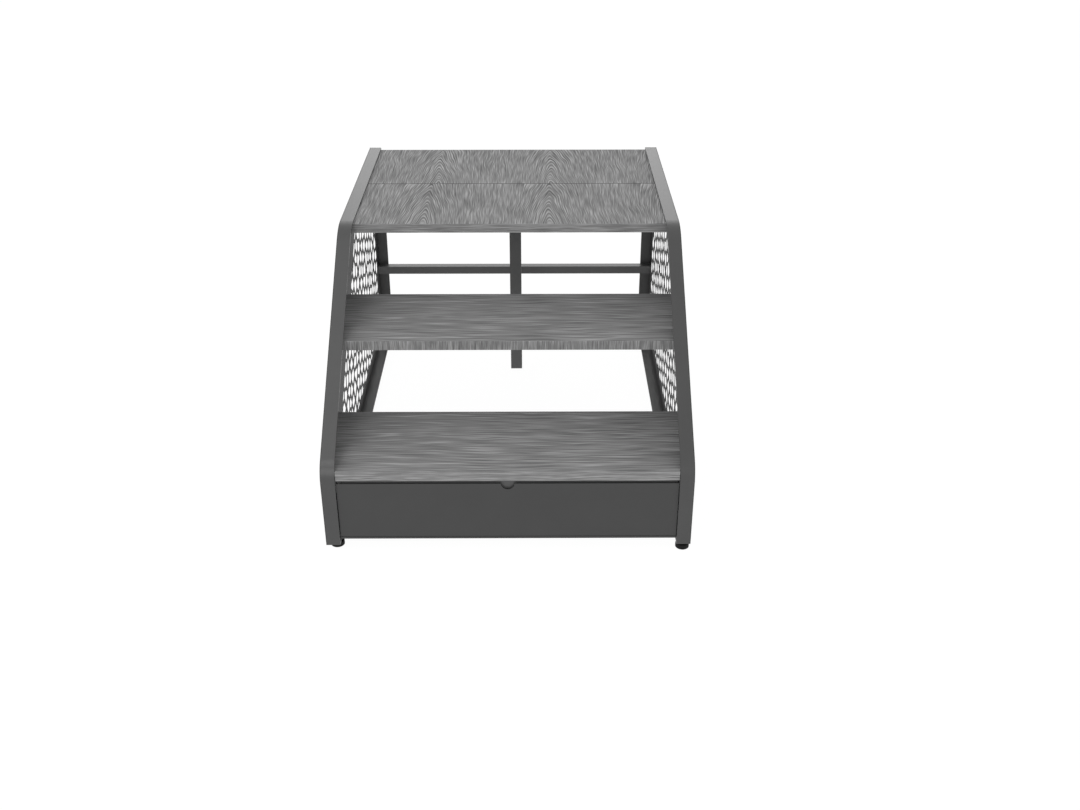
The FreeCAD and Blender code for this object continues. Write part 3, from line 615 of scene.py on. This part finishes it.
def moulded(name, dark, pale, grain_mm, rough_low, rough_high):
    """Moulded plastic between two tones: grain in the colour, the roughness and the bump."""
    material, tree = finish_named(name)
    where = tree.nodes.new("ShaderNodeTexCoord").outputs["Object"]
    grain = add(tree, "TexNoise", where, Scale=1000 / grain_mm, Detail=2.0, Roughness=0.6)
    colour = add(tree, "Mix", grain, linear(dark), linear(pale), data_type="RGBA")
    rough = add(tree, "MapRange", grain, 0.3, 0.7, rough_low, rough_high)
    bump = add(tree, "Bump", Strength=0.5, Distance=MOULD_GRAIN_DEPTH, Height=grain)
    shader = add(tree, "BsdfPrincipled", Base_Color=colour, Roughness=rough, Normal=bump, IOR=1.49)
    add(tree, "OutputMaterial", shader)
    return material


grey_polypropylene = moulded("grey_polypropylene", CAP_DARK, CAP_PALE, CAP_GRAIN_MM, 0.5, 0.62)
give("post_cap", grey_polypropylene)


# ---- Levelling feet -------------------------------------------------------
# Black glass-filled nylon pads, grooved round the rim to be turned by hand,
# on zinc-plated M10 stems that are blackened, with a hexagon for a spanner.
# Each stem screws into a nut welded on the bottom band.
PAD_GROOVES = 30
PAD_GROOVE_DEPTH = 0.0005
PAD_AROUND = 240
THREAD_R = 0.005
THREAD_PITCH = 0.0015
THREAD_DEPTH = 0.00085
THREAD_LEAD = 0.0012         # how far the coned ends come in
THREAD_AROUND = 36
THREAD_STEPS = 6             # rings for each turn
HEX_FLATS = 0.017
HEX_HEIGHT = 0.004
HEX_AROUND = 96
HEX_CONE = 1.73              # slope of the cone that takes the corners off, 60 degrees
NYLON_DARK, NYLON_PALE = "#060606", "#0e0e0e"
NYLON_GRAIN_MM = 0.9         # real grain is about 0.2 mm; drawn coarser, so that it shows
NYLON_SHINE = 0.2            # duller than smooth plastic, which has 0.5
BLACK_ZINC_DARK, BLACK_ZINC_PALE = "#2a2a2b", "#3a3a3b"

black_nylon = moulded("black_glass_filled_nylon", NYLON_DARK, NYLON_PALE, NYLON_GRAIN_MM,
                      0.55, 0.68)
nylon_shader = black_nylon.node_tree.nodes["Principled BSDF"]
nylon_shader.inputs["Specular IOR Level"].default_value = NYLON_SHINE

black_zinc, tree = finish_named("black_zinc_plate")
where = tree.nodes.new("ShaderNodeTexCoord").outputs["Object"]
haze = add(tree, "TexNoise", where, Scale=1000 / ZINC_HAZE_MM, Detail=3.0)
colour = add(tree, "Mix", haze, linear(BLACK_ZINC_DARK), linear(BLACK_ZINC_PALE), data_type="RGBA")
rough = add(tree, "MapRange", haze, 0.0, 1.0, 0.3, 0.48)
shader = add(tree, "BsdfPrincipled", Base_Color=colour, Roughness=rough, Metallic=0.8)
add(tree, "OutputMaterial", shader)


def levelling_pad(radius, height):
    """A grooved round pad standing on Z = 0.

    Its outline goes out over a chamfered sole, up the rim and in over a rounded shoulder
    to a dished top; on the rim the radius drops by depth * max(0, cos nt) ** 4.
    """
    outline = np.array([(0.70, 0.00), (0.90, 0.00), (0.97, 0.03), (1.00, 0.09), (1.00, 0.16),
                        (1.00, 0.50), (1.00, 0.76), (0.985, 0.86), (0.95, 0.94), (0.88, 0.985),
                        (0.80, 1.00), (0.62, 1.00), (0.58, 0.97), (0.50, 0.94)])
    grooved = np.array([0, 0, 0, 0.2, 1, 1, 1, 0.5, 0.1, 0, 0, 0, 0, 0])[:, None]
    turn = np.linspace(0, 2 * math.pi, PAD_AROUND, endpoint=False)
    groove = np.maximum(0, np.cos(PAD_GROOVES * turn)) ** 4
    rings = outline[:, :1] * radius - PAD_GROOVE_DEPTH * grooved * groove
    return turned(rings, outline[:, 1:] * height + 0 * turn, 0.0, 0.94 * height)


def hexagon_collar(flats, low, high):
    """A hexagonal prism between two heights, with its corners taken off at both faces.

    The radius is the smaller of flats / 2 / cos(t - 30 degrees), t going from 0 to 60 on each
    side, and of a cone that widens from each face.
    """
    turn = np.linspace(0, 2 * math.pi, HEX_AROUND, endpoint=False)
    hexagon = flats / 2 / np.cos(np.mod(turn, math.pi / 3) - math.pi / 6)
    share = np.array([0, 0.04, 0.10, 0.20, 0.80, 0.90, 0.96, 1.0])[:, None]
    heights = low + share * (high - low) + 0 * turn
    cone = flats / 2 * 0.98 + HEX_CONE * np.minimum(heights - low, high - heights)
    return turned(np.minimum(hexagon, cone), heights, low, high)


def threaded_stem(radius, low, high):
    """A threaded rod between two heights, both ends coned.

    The radius drops by depth * |2 * frac(z / pitch - t / 2 pi) - 1|, once for each turn of the pitch.
    """
    turn = np.linspace(0, 2 * math.pi, THREAD_AROUND, endpoint=False)
    count = int((high - low) / THREAD_PITCH * THREAD_STEPS)
    heights = np.linspace(low, high, count)[:, None] + 0 * turn
    saw = np.abs(2 * np.mod(heights / THREAD_PITCH - turn / (2 * math.pi), 1) - 1)
    cone = radius - THREAD_LEAD + np.minimum(heights - low, high - heights)
    return turned(np.minimum(radius - THREAD_DEPTH * saw, cone), heights, low, high)


nut_low, nut_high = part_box("weld_nuts")
nuts = []
for place in ("front_left", "rear_left", "front_right", "rear_right"):
    pad_low, pad_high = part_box("foot_pad_" + place)
    middle = [(pad_low.x + pad_high.x) / 2, (pad_low.y + pad_high.y) / 2, 0]
    points, faces = levelling_pad((pad_high.x - pad_low.x) / 2, pad_high.z - pad_low.z)
    points = points + middle + [0, 0, pad_low.z]
    pad = one_mesh("pad_" + place, [(points, faces)], black_nylon, "foot_" + place)
    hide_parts("foot_pad_" + place)
    stem_low, stem_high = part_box("foot_stem_" + place)
    thread, thread_faces = threaded_stem(THREAD_R, stem_low.z, stem_high.z)
    collar, collar_faces = hexagon_collar(HEX_FLATS, pad_high.z, pad_high.z + HEX_HEIGHT)
    parts = [(thread + middle, thread_faces), (collar + middle, collar_faces)]
    stem = one_mesh("stem_" + place, parts, black_zinc, "stem_" + place)
    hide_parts("foot_stem_" + place)
    nut, nut_faces = hexagon_collar(HEX_FLATS, nut_low.z, nut_high.z)
    nuts.append((nut + middle, nut_faces))
welded = one_mesh("nuts_on_bands", nuts, black_zinc, "frame")
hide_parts("weld_nuts")
